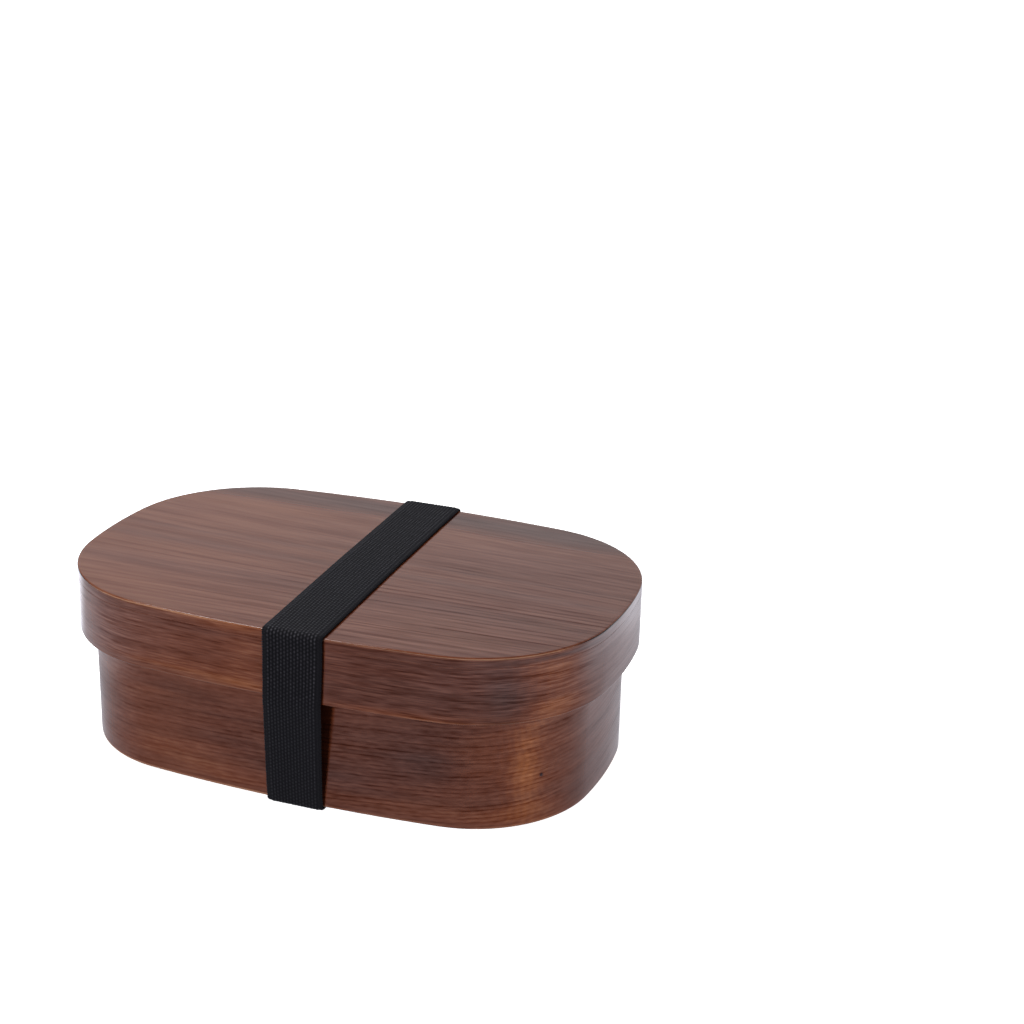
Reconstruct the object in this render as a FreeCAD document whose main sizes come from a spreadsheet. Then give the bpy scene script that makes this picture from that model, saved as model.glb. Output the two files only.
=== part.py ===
import FreeCAD, Part
import Sketcher
import math
import os

# Bentwood lunch box: an oblong box of bent cedar with bowed sides, an
# overlapping lid, a loose divider and one sewn elastic band around the middle.
#
# Frame, in millimetres: X runs along the length, -Y is the front, +Z is up.
# The origin is on the table under the middle of the box. The band passes under
# the box, so the wood stands one band thickness above the table.

doc = FreeCAD.newDocument("BentoBox")

# ---------------------------------------------------------------- dimensions
DIMS = [
    # plan outline of the lid: tangent arcs, the sides and the ends bowed out
    ("lid_half_length", 92.5),
    ("lid_half_width", 60.0),
    ("side_bow_radius", 500.0),
    ("end_bow_radius", 150.0),
    ("corner_radius", 46.0),
    # the hoops: how far each face lies inside the lid's outline
    ("lid_wall", 4.4),
    ("step_in", 5.2),
    ("box_wall", 4.2),
    # heights, measured up from the wood's lower edge
    ("box_height", 53.0),
    ("lid_edge_height", 38.2),
    ("top_rebate", 4.0),
    ("top_flange", 3.4),
    ("floor_recess", 1.6),
    ("floor_board", 4.4),
    ("glue_line", 0.05),
    # eased edges
    ("lid_ease", 0.6),
    ("rim_ease", 0.8),
    ("edge_ease", 0.6),
    # the divider
    ("divider_thick", 3.0),
    ("divider_half_length", 49.0),
    ("divider_height", 43.0),
    ("divider_round", 8.0),
    ("divider_place", 22.0),
    ("divider_gap", 0.1),
    # the elastic band
    ("band_thick", 1.2),
    ("band_width", 20.0),
    ("band_place", 4.0),
    ("band_side_gap", 0.3),
    ("band_flat_gap", 0.05),
    ("band_split", 22.0),
    ("band_lap_low", 4.5),
    ("band_lap_high", 16.5),
    # the sewn lap
    ("stitch_long", 2.4),
    ("stitch_wide", 0.55),
    ("stitch_high", 0.35),
]
dims = doc.addObject("Spreadsheet::Sheet", "dims")
for i, (alias, value) in enumerate(DIMS):
    dims.set("A%d" % (i + 1), alias)
    dims.set("B%d" % (i + 1), repr(value))
    dims.setAlias("B%d" % (i + 1), alias)
doc.recompute()
N = {alias: float(getattr(dims, alias)) for alias, _ in DIMS}


def ev(expr):
    """The value of an expression written in the sheet's names."""
    return dims.evalExpression(expr.replace("dims.", ""))


# heights of the wood above the table, as expressions of the sheet
BASE = "dims.band_thick + dims.band_flat_gap"
RIM = BASE + " + dims.box_height"
SHOULDER = RIM + " + dims.top_rebate"
TOP = SHOULDER + " + dims.top_flange"
LID_LOW = BASE + " + dims.lid_edge_height"
BOX_OUT = "dims.step_in"
BOX_IN = "dims.step_in + dims.box_wall"


def plane(body, role):
    for feature in body.Origin.OriginFeatures:
        if feature.Role == role:
            return feature
    raise ValueError(role)


def new_body(label):
    body = doc.addObject("PartDesign::Body", "Body_" + label)
    body.Label = label
    return body


def new_sketch(body, name, role, height=None):
    sketch = body.newObject("Sketcher::SketchObject", name)
    sketch.AttachmentSupport = [(plane(body, role), "")]
    sketch.MapMode = "FlatFace"
    if height is not None:
        sketch.setExpression("AttachmentOffset.Base.z", height)
    return sketch


class Pins:
    """Adds constraints to a sketch and binds their values to the sheet."""

    def __init__(self, sketch):
        self.sketch = sketch

    def bind(self, index, expr):
        name = "size%d" % index
        self.sketch.renameConstraint(index, name)
        self.sketch.setExpression("Constraints." + name, expr)

    def radius(self, geo, expr):
        self.bind(self.sketch.addConstraint(
            Sketcher.Constraint("Radius", geo, ev(expr))), expr)

    def point(self, geo, pos, x_expr, y_expr):
        for kind, expr in (("DistanceX", x_expr), ("DistanceY", y_expr)):
            value = ev(expr)
            if abs(value) < 1e-9:
                axis = -2 if kind == "DistanceX" else -1
                self.sketch.addConstraint(
                    Sketcher.Constraint("PointOnObject", geo, pos, axis))
            elif value > 0:
                self.bind(self.sketch.addConstraint(
                    Sketcher.Constraint(kind, -1, 1, geo, pos, value)), expr)
            else:
                self.bind(self.sketch.addConstraint(
                    Sketcher.Constraint(kind, geo, pos, -1, 1, -value)),
                    "-(" + expr + ")")


def outline_arcs(inset):
    """The eight tangent arcs of the plan outline, moved inwards by inset."""
    a, b = N["lid_half_length"], N["lid_half_width"]
    side, end, corner = N["side_bow_radius"], N["end_bow_radius"], N["corner_radius"]
    y1, x2 = b - side, a - end
    r1, r2 = side - corner, end - corner
    gap = math.hypot(x2, y1)
    along = (r1 * r1 - r2 * r2 + gap * gap) / (2 * gap)
    across = math.sqrt(r1 * r1 - along * along)
    ex, ey = x2 / gap, -y1 / gap
    cx, cy = max(((along * ex - across * ey, y1 + along * ey + across * ex),
                  (along * ex + across * ey, y1 + along * ey - across * ex)),
                 key=lambda p: min(p))
    t1 = math.atan2(cy - y1, cx)
    t2 = math.atan2(cy, cx - x2)
    pi = math.pi
    return [
        ("side", (0, y1), side - inset, t1, pi - t1),
        ("corner", (-cx, cy), corner - inset, pi - t1, pi - t2),
        ("end", (-x2, 0), end - inset, pi - t2, pi + t2),
        ("corner", (-cx, -cy), corner - inset, pi + t2, pi + t1),
        ("side", (0, -y1), side - inset, pi + t1, 2 * pi - t1),
        ("corner", (cx, -cy), corner - inset, 2 * pi - t1, 2 * pi - t2),
        ("end", (x2, 0), end - inset, -t2, t2),
        ("corner", (cx, cy), corner - inset, t2, t1),
    ], (cx, cy, t1, t2)


def draw_outline(sketch, inset):
    """Draws the closed outline, inset by an expression, in a sketch."""
    pins = Pins(sketch)
    arcs, _ = outline_arcs(ev(inset))
    geos = [sketch.addGeometry(Part.ArcOfCircle(
        Part.Circle(FreeCAD.Vector(c[0], c[1], 0), FreeCAD.Vector(0, 0, 1), radius),
        start, stop), False) for _, c, radius, start, stop in arcs]
    for k, geo in enumerate(geos):
        sketch.addConstraint(Sketcher.Constraint("Tangent", geo, 2, geos[(k + 1) % 8], 1))
    kinds = {"side": "dims.side_bow_radius", "end": "dims.end_bow_radius",
             "corner": "dims.corner_radius"}
    for geo, (kind, c, _, _, _) in zip(geos, arcs):
        pins.radius(geo, kinds[kind] + " - (" + inset + ")")
        if kind == "side":
            pins.point(geo, 3, "0", "dims.lid_half_width - dims.side_bow_radius" if c[1] < 0
                       else "dims.side_bow_radius - dims.lid_half_width")
        elif kind == "end":
            pins.point(geo, 3, "dims.lid_half_length - dims.end_bow_radius" if c[0] < 0
                       else "dims.end_bow_radius - dims.lid_half_length", "0")


def draw_polygon(sketch, corners):
    """Draws a closed polygon whose corners are pairs of expressions."""
    pins = Pins(sketch)
    points = [FreeCAD.Vector(ev(x), ev(y), 0) for x, y in corners]
    geos = [sketch.addGeometry(Part.LineSegment(p, points[(k + 1) % len(points)]), False)
            for k, p in enumerate(points)]
    for k, geo in enumerate(geos):
        sketch.addConstraint(Sketcher.Constraint(
            "Coincident", geo, 2, geos[(k + 1) % len(geos)], 1))
    for geo, (x, y) in zip(geos, corners):
        pins.point(geo, 1, x, y)


def pad(body, name, sketch, length):
    feature = body.newObject("PartDesign::Pad", name)
    feature.Profile = sketch
    feature.setExpression("Length", length)
    doc.recompute()
    return feature


def inset_of(x, y):
    """How far a plan point lies inside the lid's outline."""
    _, (cx, cy, t1, t2) = outline_arcs(0.0)
    x, y = abs(x), abs(y)
    y1 = N["lid_half_width"] - N["side_bow_radius"]
    x2 = N["lid_half_length"] - N["end_bow_radius"]
    if math.atan2(y - y1, x) >= t1 - 1e-7:
        return N["side_bow_radius"] - math.hypot(x, y - y1)
    if math.atan2(y, x - x2) <= t2 + 1e-7:
        return N["end_bow_radius"] - math.hypot(x - x2, y)
    return N["corner_radius"] - math.hypot(x - cx, y - cy)


def ring_edges(shape, height, inset):
    """Names of the edges that follow the outline at one height."""
    names = []
    for k, edge in enumerate(shape.Edges):
        box = edge.BoundBox
        if abs(box.ZMin - height) > 1e-4 or abs(box.ZMax - height) > 1e-4:
            continue
        mid = edge.valueAt((edge.FirstParameter + edge.LastParameter) / 2)
        if abs(inset_of(mid.x, mid.y) - inset) < 1e-3:
            names.append("Edge%d" % (k + 1))
    if not names:
        raise ValueError("no edge at %g, inset %g" % (height, inset))
    return names


def ease(body, name, base, edges, radius):
    feature = body.newObject("PartDesign::Fillet", name)
    feature.Base = (base, edges)
    feature.setExpression("Radius", radius)
    doc.recompute()
    return feature


# ---------------------------------------------------------------- the box
# A strip bent into a closed hoop, its ends glued in a long lap.
box_hoop = new_body("box_hoop")
sk = new_sketch(box_hoop, "BoxHoopPlan", "XY_Plane", BASE)
draw_outline(sk, BOX_OUT)
draw_outline(sk, BOX_IN)
doc.recompute()
base = pad(box_hoop, "BoxHoopWall", sk, "dims.box_height")
rim, foot = ev(RIM), ev(BASE)
edges = (ring_edges(base.Shape, rim, ev(BOX_OUT)) + ring_edges(base.Shape, rim, ev(BOX_IN))
         + ring_edges(base.Shape, foot, ev(BOX_OUT)))
ease(box_hoop, "BoxHoopEase", base, edges, "dims.rim_ease")

# The floor board, glued inside the hoop a little above its lower edge.
box_floor = new_body("box_floor")
sk = new_sketch(box_floor, "BoxFloorPlan", "XY_Plane", BASE + " + dims.floor_recess")
draw_outline(sk, BOX_IN + " + dims.glue_line")
doc.recompute()
pad(box_floor, "BoxFloorBoard", sk, "dims.floor_board")

# ---------------------------------------------------------------- the lid
# A wider hoop that overlaps the box, under a rebated top board. The board's
# flange lies on the hoop and its lower step fits inside, on the box's rim.
lid_hoop = new_body("lid_hoop")
sk = new_sketch(lid_hoop, "LidHoopPlan", "XY_Plane", LID_LOW)
draw_outline(sk, "0")
draw_outline(sk, "dims.lid_wall")
doc.recompute()
base = pad(lid_hoop, "LidHoopWall", sk, "dims.box_height + dims.top_rebate - dims.lid_edge_height")
low = ev(LID_LOW)
edges = ring_edges(base.Shape, low, 0.0) + ring_edges(base.Shape, low, N["lid_wall"])
ease(lid_hoop, "LidHoopEase", base, edges, "dims.edge_ease")

lid_top = new_body("lid_top")
sk = new_sketch(lid_top, "LidTopPlan", "XY_Plane", SHOULDER)
draw_outline(sk, "0")
doc.recompute()
base = pad(lid_top, "LidTopFlange", sk, "dims.top_flange")
base = ease(lid_top, "LidTopEase", base, ring_edges(base.Shape, ev(TOP), 0.0), "dims.lid_ease")
sk = new_sketch(lid_top, "LidTopStepPlan", "XY_Plane", RIM)
draw_outline(sk, "dims.lid_wall + dims.glue_line")
doc.recompute()
pad(lid_top, "LidTopStep", sk, "dims.top_rebate")

# ---------------------------------------------------------------- the divider
# A thin board that stands across the box, with its upper corners rounded.
divider = new_body("divider")
sk = new_sketch(divider, "DividerFace", "YZ_Plane", "dims.divider_place - dims.divider_thick / 2")
stand = BASE + " + dims.floor_recess + dims.floor_board + dims.divider_gap"
draw_polygon(sk, [("-dims.divider_half_length", stand), ("dims.divider_half_length", stand),
                  ("dims.divider_half_length", stand + " + dims.divider_height"),
                  ("-dims.divider_half_length", stand + " + dims.divider_height")])
doc.recompute()
base = pad(divider, "DividerBoard", sk, "dims.divider_thick")
head = ev(stand) + N["divider_height"]
edges = ["Edge%d" % (k + 1) for k, e in enumerate(base.Shape.Edges)
         if abs(e.BoundBox.ZMin - head) < 1e-4 and e.BoundBox.YLength < 1e-4]
ease(divider, "DividerRound", base, edges, "dims.divider_round")

# ---------------------------------------------------------------- the band
# One flat loop of webbing: across the lid, down both of its sides, slanting in
# from the lid's lower edge to the foot of the box, and across underneath. Its
# two ends lap on the slanting run at the back. The loop is cut across at one
# height, so that its two halves can part as it stretches.
FOOT_IN = "dims.lid_half_width - dims.step_in + dims.band_side_gap"
SIDE_IN = "dims.lid_half_width + dims.band_side_gap"
SIDE_OUT = SIDE_IN + " + dims.band_thick"
LID_LOW_IN = "(" + LID_LOW + " - dims.edge_ease)"
TOP_IN = "(" + TOP + " + dims.band_flat_gap)"
RUN = "(dims.step_in / (" + LID_LOW_IN + " - dims.band_thick))"
LEAN = "(dims.band_thick * sqrt(1 + " + RUN + " * " + RUN + "))"


def run_in(height):
    """Inner face of the slanting run at a height."""
    return FOOT_IN + " + " + RUN + " * (" + height + " - dims.band_thick)"


def run_out(height):
    return run_in(height) + " + " + LEAN


def neg(expr):
    return "-(" + expr + ")"


def x_edges(shape, spots):
    """Names of the edges along X that pass through the given (y, z) points."""
    names = []
    for k, edge in enumerate(shape.Edges):
        box = edge.BoundBox
        if box.YLength > 1e-4 or box.ZLength > 1e-4:
            continue
        if any(abs(box.YMin - y) < 1e-3 and abs(box.ZMin - z) < 1e-3 for y, z in spots):
            names.append("Edge%d" % (k + 1))
    if len(names) != len(spots):
        raise ValueError("band edges %r of %r" % (names, spots))
    return names


BAND_X = "dims.band_place - dims.band_width / 2"

band_upper = new_body("elastic_band_upper")
sk = new_sketch(band_upper, "BandUpperSide", "YZ_Plane", BAND_X)
cut = "(dims.band_split + 0.05)"
half = [(run_out(cut), cut), (SIDE_OUT, LID_LOW_IN), (SIDE_OUT, TOP_IN + " + dims.band_thick")]
inner = [(SIDE_IN, TOP_IN), (SIDE_IN, LID_LOW_IN), (run_in(cut), cut)]
draw_polygon(sk, half + [(neg(y), z) for y, z in reversed(half)]
             + [(neg(y), z) for y, z in reversed(inner)] + inner)
doc.recompute()
base = pad(band_upper, "BandUpperWeb", sk, "dims.band_width")
yo, zo, yi, zi = ev(SIDE_OUT), ev(TOP_IN) + N["band_thick"], ev(SIDE_IN), ev(TOP_IN)
base = ease(band_upper, "BandUpperBendOut", base,
            x_edges(base.Shape, [(yo, zo), (-yo, zo)]), "dims.lid_ease + dims.band_thick")
ease(band_upper, "BandUpperBendIn", base,
     x_edges(base.Shape, [(yi, zi), (-yi, zi)]), "dims.lid_ease")

band_lower = new_body("elastic_band_lower")
sk = new_sketch(band_lower, "BandLowerSide", "YZ_Plane", BAND_X)
cut = "dims.band_split"
lap_low, lap_high = "dims.band_lap_low", "dims.band_lap_high"
outer_front = [(run_out(cut), cut), (run_out("0"), "0")]
lap = [(run_out("0"), "0"), (run_out(lap_low), lap_low),
       (run_out(lap_low) + " + " + LEAN, lap_low), (run_out(lap_high) + " + " + LEAN, lap_high),
       (run_out(lap_high), lap_high), (run_out(cut), cut)]
inner = [(run_in(cut), cut), (FOOT_IN, "dims.band_thick")]
draw_polygon(sk, [(neg(y), z) for y, z in outer_front] + lap + inner
             + [(neg(y), z) for y, z in reversed(inner)])
doc.recompute()
base = pad(band_lower, "BandLowerWeb", sk, "dims.band_width")
yo, yi = ev(run_out("0")), ev(FOOT_IN)
base = ease(band_lower, "BandLowerBendOut", base,
            x_edges(base.Shape, [(yo, 0.0), (-yo, 0.0)]), "dims.rim_ease + dims.band_thick")
ease(band_lower, "BandLowerBendIn", base,
     x_edges(base.Shape, [(yi, N["band_thick"]), (-yi, N["band_thick"])]), "dims.rim_ease")

# Two rows of stitches through the lap, lying on its outer face.
slope = math.atan(ev(RUN))
stitches = []
rows = [ev(lap_low) + 2.2, ev(lap_high) - 2.2]
pitch = 3.1
per_row = 6
for row, z in enumerate(rows):
    for k in range(per_row):
        x = N["band_place"] + (k - (per_row - 1) / 2.0) * pitch
        stitch = doc.addObject("Part::Box", "Stitch_%d_%d" % (row, k))
        stitch.setExpression("Length", "dims.stitch_long")
        stitch.setExpression("Width", "dims.stitch_high")
        stitch.setExpression("Height", "dims.stitch_wide")
        y = ev(run_out("%g" % z)) + ev(LEAN)
        stitch.Placement = FreeCAD.Placement(
            FreeCAD.Vector(x - N["stitch_long"] / 2, y, z),
            FreeCAD.Rotation(FreeCAD.Vector(1, 0, 0), -math.degrees(slope)))
        stitches.append(stitch)
band_stitches = doc.addObject("Part::Compound", "BandStitches")
band_stitches.Label = "band_stitches"
band_stitches.Links = stitches

# ---------------------------------------------------------------- check, write
doc.recompute()
NODES = [box_hoop, box_floor, lid_hoop, lid_top, divider, band_upper, band_lower, band_stitches]
for obj in doc.Objects:
    if "Invalid" in obj.State or "Error" in obj.State:
        raise RuntimeError("%s failed: %s" % (obj.Label, obj.State))
os.makedirs("parts", exist_ok=True)
for node in NODES:
    shape = node.Shape
    if shape.isNull() or not shape.isValid():
        raise RuntimeError(node.Label + " has no valid shape")
    box = shape.BoundBox
    print("%-20s solids %2d  volume %9.1f  x %.2f..%.2f  y %.2f..%.2f  z %.2f..%.2f" % (
        node.Label, len(shape.Solids), shape.Volume, box.XMin, box.XMax,
        box.YMin, box.YMax, box.ZMin, box.ZMax))
for node in NODES:
    node.Shape.exportStep("parts/%s.step" % node.Label)
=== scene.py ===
import bpy
import math
import numpy as np
from mathutils import Matrix, Vector


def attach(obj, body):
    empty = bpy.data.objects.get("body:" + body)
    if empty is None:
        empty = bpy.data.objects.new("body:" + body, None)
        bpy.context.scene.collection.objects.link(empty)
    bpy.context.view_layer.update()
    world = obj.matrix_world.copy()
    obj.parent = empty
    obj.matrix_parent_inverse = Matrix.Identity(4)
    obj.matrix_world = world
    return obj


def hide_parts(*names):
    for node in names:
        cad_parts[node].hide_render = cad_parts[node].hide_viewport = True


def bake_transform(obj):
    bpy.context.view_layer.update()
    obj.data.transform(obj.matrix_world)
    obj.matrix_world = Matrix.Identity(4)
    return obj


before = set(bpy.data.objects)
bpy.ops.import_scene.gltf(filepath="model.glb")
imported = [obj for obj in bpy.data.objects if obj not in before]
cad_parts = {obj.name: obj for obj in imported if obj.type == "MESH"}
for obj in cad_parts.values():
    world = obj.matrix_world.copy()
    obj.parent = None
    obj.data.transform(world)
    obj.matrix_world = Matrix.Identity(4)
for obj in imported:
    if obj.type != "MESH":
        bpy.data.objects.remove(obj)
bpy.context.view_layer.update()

# Bentwood lunch box. Lengths in this script are millimetres, in the frame of the
# part, and are turned into metres where a mesh is made.
MM = 0.001
scene = bpy.context.scene


# ---------------------------------------------------------------- the outline
# Plan outline of the lid: bowed sides and ends joined by tangent corner arcs.
# Everything wooden is an inset of this outline.
HALF_L, HALF_W = 92.5, 60.0
R_SIDE, R_END, R_CORNER = 500.0, 150.0, 46.0

_y1, _x2 = HALF_W - R_SIDE, HALF_L - R_END
_d = math.hypot(_x2, _y1)
_a = ((R_SIDE - R_CORNER) ** 2 - (R_END - R_CORNER) ** 2 + _d * _d) / (2 * _d)
_h = math.sqrt((R_SIDE - R_CORNER) ** 2 - _a * _a)
_ex, _ey = _x2 / _d, -_y1 / _d
CORNER = max(
    (_a * _ex - _h * _ey, _y1 + _a * _ey + _h * _ex),
    (_a * _ex + _h * _ey, _y1 + _a * _ey - _h * _ex),
    key=min,
)
T1 = math.atan2(CORNER[1] - _y1, CORNER[0])
T2 = math.atan2(CORNER[1], CORNER[0] - _x2)
L1 = R_SIDE * (math.pi / 2 - T1)
L2 = R_CORNER * (T1 - T2)
L3 = R_END * T2
QUARTER = L1 + L2 + L3
ROUND = 4 * QUARTER


def at(s):
    """Point and outward normal of the outline at the distance s, clockwise from the middle of the back."""
    s = s % ROUND
    q = int(s // QUARTER)
    t = s - q * QUARTER
    if q % 2:
        t = QUARTER - t
    if t < L1:
        a = math.pi / 2 - t / R_SIDE
        p = (R_SIDE * math.cos(a), _y1 + R_SIDE * math.sin(a))
    elif t < L1 + L2:
        a = T1 - (t - L1) / R_CORNER
        p = (CORNER[0] + R_CORNER * math.cos(a), CORNER[1] + R_CORNER * math.sin(a))
    else:
        a = T2 - (t - L1 - L2) / R_END
        p = (_x2 + R_END * math.cos(a), R_END * math.sin(a))
    sx = 1 if q < 2 else -1
    sy = 1 if q in (0, 3) else -1
    return (sx * p[0], sy * p[1]), (sx * math.cos(a), sy * math.sin(a))


def stations(n1=22, n2=44, n3=8):
    """Distances along the outline, the same in each quarter, so that front and back points face each other."""
    q = [L1 * i / n1 for i in range(n1)]
    q += [L1 + L2 * i / n2 for i in range(n2)]
    q += [L1 + L2 + L3 * i / n3 for i in range(n3)]
    ends = q[1:] + [QUARTER]
    out = []
    for k in range(4):
        part = q if k % 2 == 0 else [QUARTER - t for t in reversed(ends)]
        out += [k * QUARTER + t for t in part]
    return out


# ---------------------------------------------------------------- mesh making
class Shell:
    """One closed surface: points, faces, a texture place for each face corner, and wear for each point, which along the
    lid's top edge also paints a highlight.
    """

    def __init__(self):
        self.v, self.f, self.uv, self.wear, self.mat = [], [], [], [], []

    def face(self, idx, uv, mat=0):
        self.f.append(tuple(idx))
        self.uv.append([tuple(c) for c in uv])
        self.mat.append(mat)

    def outward(self):
        """Turns the faces so that the volume is positive."""
        v = np.array(self.v, float)
        a, b, c = [], [], []
        for f in self.f:
            for i in range(1, len(f) - 1):
                a.append(f[0])
                b.append(f[i])
                c.append(f[i + 1])
        if np.einsum("ij,ij->", v[a], np.cross(v[b], v[c])) < 0:
            self.f = [tuple(reversed(f)) for f in self.f]
            self.uv = [list(reversed(c)) for c in self.uv]
        return self


def build(name, shells, uv_name, materials, body=None, sharp=38.0):
    """One object from closed shells."""
    verts, faces, uvs, wear, mats = [], [], [], [], []
    for s in shells:
        s.outward()
        base = len(verts)
        verts += [tuple(c * MM for c in p) for p in s.v]
        faces += [tuple(i + base for i in f) for f in s.f]
        uvs += [c for f in s.uv for c in f]
        wear += s.wear if s.wear else [0.0] * len(s.v)
        mats += s.mat
    me = bpy.data.meshes.new(name)
    me.from_pydata(verts, [], faces)
    layer = me.uv_layers.new(name=uv_name)
    layer.data.foreach_set("uv", np.array(uvs, np.float32).ravel())
    attribute = me.attributes.new("wear", "FLOAT", "POINT")
    attribute.data.foreach_set("value", np.array(wear, np.float32))
    me.polygons.foreach_set("material_index", mats)
    for m in materials:
        me.materials.append(m)
    me.shade_smooth()
    me.set_sharp_from_angle(angle=math.radians(sharp))
    me.update()
    ob = bpy.data.objects.new(name, me)
    scene.collection.objects.link(ob)
    if body:
        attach(ob, body)
    return ob


def quarter_arc(c, r, a0, a1, n):
    """Points on an arc, both ends included; angles in degrees."""
    return [
        (
            c[0] + r * math.cos(math.radians(a0 + (a1 - a0) * i / n)),
            c[1] + r * math.sin(math.radians(a0 + (a1 - a0) * i / n)),
        )
        for i in range(n + 1)
    ]


def hoop(out, inn, z0, z1, ease_low, ease_top, wear_low, wear_top, lap_at, lap_high, rows):
    """A bent strip: its section is swept round the outline. The strip's outer end lies at lap_at, where it stands
    proud by lap_high and sinks into the surface over the next 26 mm."""
    # section as (inset, height, wear, share of the lap's step), outer face downwards first
    sec = []
    if ease_top > 0.3:
        for p in quarter_arc((out + ease_top, z1 - ease_top), ease_top, 90, 180, 6):
            sec.append((p[0], p[1], wear_top, 1.0))
    else:
        sec.append((out + ease_top, z1, wear_top, 1.0))
        sec.append((out, z1 - ease_top, wear_top, 1.0))
    top = z1 - ease_top
    low = z0 + ease_low
    for z in [top - 0.5] + [top - (top - low) * i / rows for i in range(1, rows)] + [low + 0.5]:
        sec.append((out, z, 0.0, 1.0))
    for p in quarter_arc((out + ease_low, z0 + ease_low), ease_low, 180, 270, 6):
        sec.append((p[0], p[1], wear_low, 1.0))
    sec.append((out + ease_low + 0.6, z0, wear_low * 0.3, 0.7))
    sec.append((inn - ease_low - 0.6, z0, wear_low * 0.3, 0.3))
    for p in quarter_arc((inn - ease_low, z0 + ease_low), ease_low, 270, 360, 5):
        sec.append((p[0], p[1], wear_low * 0.6, 0.0))
    for z in [low + 0.5] + [low + (top - low) * i / 3 for i in (1, 2)] + [top - 0.5]:
        sec.append((inn, z, 0.0, 0.0))
    if ease_top > 0.3:
        for p in quarter_arc((inn - ease_top, z1 - ease_top), ease_top, 0, 90, 6):
            sec.append((p[0], p[1], wear_top, 0.0))
    else:
        sec.append((inn, z1, 0.0, 0.0))
    # texture height: follows the section round, from the outer face's own height
    run = [sec[0][1]]
    for a, b in zip(sec, sec[1:] + sec[:1]):
        run.append(run[-1] - math.hypot(b[0] - a[0], b[1] - a[1]))
    st = [lap_at - 0.02, lap_at + 0.02] + [lap_at + d for d in (0.5, 1.5)]
    st = sorted(st + [s for s in stations() if abs(s - lap_at) > 0.3])
    # the strip starts and ends at the lap
    st = [s if s > lap_at else s + ROUND for s in st]
    st.sort()
    sh = Shell()
    m = len(sec)
    for s in st:
        p, n = at(s)
        d = (s - lap_at) % ROUND
        step = lap_high * max(0.0, 1 - d / 26.0) if d < ROUND - 0.1 else 0.0
        for inset, z, wear, share in sec:
            k = inset - step * share
            sh.v.append((p[0] - n[0] * k, p[1] - n[1] * k, z))
            sh.wear.append(min(1.0, wear + (0.8 * share if d < 0.3 else 0.0)))
    k = len(st)
    for i in range(k):
        i2 = (i + 1) % k
        u0 = st[i]
        u1 = st[i + 1] if i + 1 < k else st[0] + ROUND
        for j in range(m):
            j2 = (j + 1) % m
            sh.face(
                (i * m + j, i2 * m + j, i2 * m + j2, i * m + j2),
                ((u0, run[j]), (u1, run[j]), (u1, run[j + 1]), (u0, run[j + 1])),
            )
    return sh


def plank(rings, cap_uv=(0.0, 0.0), under_uv=(420.0, 0.0), side=None):
    """A board cut to the outline. rings are (inset, height, wear with its painted highlight), from the top's own border
    over the edge to the underside's.
    side is (low, high, lap): between those heights the edge carries on the grain of the strip below it."""
    st = stations()
    n = len(st)
    sh = Shell()
    run = [0.0]
    for a, b in zip(rings, rings[1:]):
        run.append(run[-1] + math.hypot(b[0] - a[0], b[1] - a[1]))
    flat = []
    for inset, z, wear in rings:
        for s in st:
            p, m = at(s)
            sh.v.append((p[0] - m[0] * inset, p[1] - m[1] * inset, z))
            sh.wear.append(wear)
    for r, length in zip(rings, run):
        row = []
        for s in st:
            p, m = at(s)
            k = rings[0][0] - length
            row.append((p[0] - m[0] * k + cap_uv[0], p[1] - m[1] * k + cap_uv[1]))
        flat.append(row)
    for r in range(len(rings) - 1):
        z0, z1 = rings[r + 1][1], rings[r][1]
        skin = side is not None and z0 >= side[0] - 1e-6 and z1 <= side[1] + 1e-6 and rings[r + 1][0] < 1.0
        for i in range(n):
            i2 = (i + 1) % n
            ids = (r * n + i, r * n + i2, (r + 1) * n + i2, (r + 1) * n + i)
            if skin:
                u0 = st[i] if st[i] > side[2] else st[i] + ROUND
                u1 = u0 + (st[i2] - st[i]) % ROUND
                sh.face(ids, ((u0, z1), (u1, z1), (u1, z0), (u0, z0)), 1)
            else:
                sh.face(ids, (flat[r][i], flat[r][i2], flat[r + 1][i2], flat[r + 1][i]))
    # flat faces: strips from each back point to the front point that faces it
    for base, shift, turn in ((0, cap_uv, True), ((len(rings) - 1) * n, under_uv, False)):
        def corner(i):
            p = sh.v[base + i]
            return (p[0] + shift[0], p[1] + shift[1])

        for k in range(n // 4):
            for quad in (
                (k, k + 1, n // 2 - k - 1, n // 2 - k),
                ((n - k) % n, n - k - 1, n // 2 + k + 1, n // 2 + k),
            ):
                ids = []
                for q in quad:
                    if q not in ids:
                        ids.append(q)
                right = quad[1] == k + 1
                if right == turn:
                    ids.reverse()
                sh.face([base + q for q in ids], [corner(q) for q in ids])
    return sh


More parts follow.
